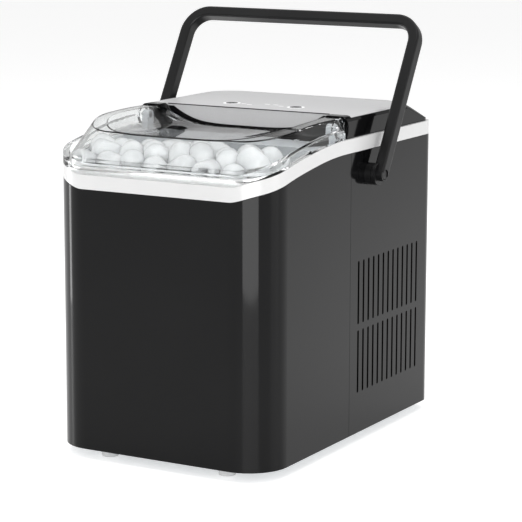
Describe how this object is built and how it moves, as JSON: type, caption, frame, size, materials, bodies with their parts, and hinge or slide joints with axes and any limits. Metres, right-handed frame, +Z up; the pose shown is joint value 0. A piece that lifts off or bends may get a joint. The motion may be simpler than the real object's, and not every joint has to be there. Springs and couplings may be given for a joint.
{
  "type": "ice maker",
  "caption": "Countertop bullet-ice maker with a swinging carry handle, a hinged clear lid over the ice basket, and a compressor cooling circuit behind slotted side vents.",
  "frame": {"origin": "on the table, under the middle of the cabinet", "axes": "+Z up, -Y to the front (the lid and the ice basket), +X to the right seen from the front"},
  "size_m": [0.2554, 0.328, 0.3855],
  "materials": {
    "black_shell": "piano gloss",
    "white_frame": "gloss",
    "white_liner": "satin",
    "clear_lid": "clear moulded",
    "silver_panel": "silver satin paint",
    "black_handle": "satin",
    "grey_rubber": "moulded",
    "black_rubber": "moulded",
    "zinc_sheet": "galvanised",
    "compressor_paint": "black enamel",
    "copper_tube": "copper",
    "fin_aluminium": "rolled",
    "nickel_plate": "plated",
    "grey_plastic": "moulded",
    "black_plastic": "moulded",
    "foam": "expanded foam",
    "board_green": "printed board",
    "steel_pin": "turned",
    "lamp_lens": "clear",
    "button_dark": "satin",
    "basket_plastic": "satin"
  },
  "bodies": {
    "cabinet": {"front_shell": "black_shell", "rear_shell": "black_shell", "base_pan": "zinc_sheet", "feet": "grey_rubber", "base_screws": "steel_pin", "upper_frame": "white_frame", "bin_liner": "white_liner", "insulation_jacket": "foam", "evaporator_hood": "grey_plastic", "lid_hinge_pins": "steel_pin", "evaporator": "nickel_plate", "evaporator_hangers": "grey_plastic", "tray_motor": "grey_plastic", "tray_bearing": "grey_plastic", "ice_level_sensors": "black_plastic", "water_pump": "black_plastic", "water_hose": "grey_rubber", "drain_tube": "grey_rubber", "drain_socket": "black_plastic", "top_cover": "black_shell", "control_plate": "silver_panel", "indicator_lenses": "lamp_lens", "control_board": "board_green", "pivot_bosses": "black_handle", "pivot_pins": "black_handle", "pivot_nuts": "steel_pin", "compressor": "compressor_paint", "compressor_mounts": "black_rubber", "start_relay": "black_plastic", "condenser_fins": "fin_aluminium", "condenser_tube": "copper_tube", "fan_shroud": "black_plastic", "fan_motor": "black_plastic", "filter_drier": "copper_tube", "discharge_tube": "copper_tube", "hot_gas_valve": "steel_pin", "power_board": "board_green", "cord_gland": "black_rubber"},
    "handle": {"handle": "black_handle"},
    "lid": {"lid": "clear_lid"},
    "basket": {"ice_basket": "basket_plastic"},
    "tray": {"water_tray": "white_liner"},
    "power_key": {"power_button": "button_dark"},
    "size_key": {"size_button": "button_dark"},
    "fan": {"fan": "grey_plastic"},
    "drain_plug": {"drain_plug": "black_rubber"}
  },
  "joints": [
    {"name": "handle_swing", "type": "hinge", "parent": "cabinet", "child": "handle", "pos_m": [0, 0.0255, 0.247], "axis": [1, 0, 0], "range_deg": [-57, 45]},
    {"name": "lid_hinge", "type": "hinge", "parent": "cabinet", "child": "lid", "pos_m": [0, -0.022, 0.2913], "axis": [-1, 0, 0], "range_deg": [0, 75]},
    {"name": "basket_lift", "type": "slide", "parent": "cabinet", "child": "basket", "axis": [0, 0, 1], "range_m": [0, 0.045]},
    {"name": "tray_tilt", "type": "hinge", "parent": "cabinet", "child": "tray", "pos_m": [0, -0.0435, 0.247], "axis": [1, 0, 0], "range_deg": [0, 70]},
    {"name": "power_button_press", "type": "slide", "parent": "cabinet", "child": "power_key", "axis": [0, 0, -1], "range_m": [0, 0.0009], "stiffness_N_per_m": 900, "springref_m": -0.0004},
    {"name": "size_button_press", "type": "slide", "parent": "cabinet", "child": "size_key", "axis": [0, 0, -1], "range_m": [0, 0.0009], "stiffness_N_per_m": 900, "springref_m": -0.0004},
    {"name": "fan_spin", "type": "hinge", "parent": "cabinet", "child": "fan", "pos_m": [0.0695, 0.0665, 0.087], "axis": [1, 0, 0], "continuous": true},
    {"name": "drain_plug_pull", "type": "slide", "parent": "cabinet", "child": "drain_plug", "axis": [-1, 0, 0], "range_m": [0, 0.008]}
  ],
  "couplings": [
    {"joint": "basket_lift", "follows": "lid_hinge", "m_per_rad": 0.034}
  ]
}
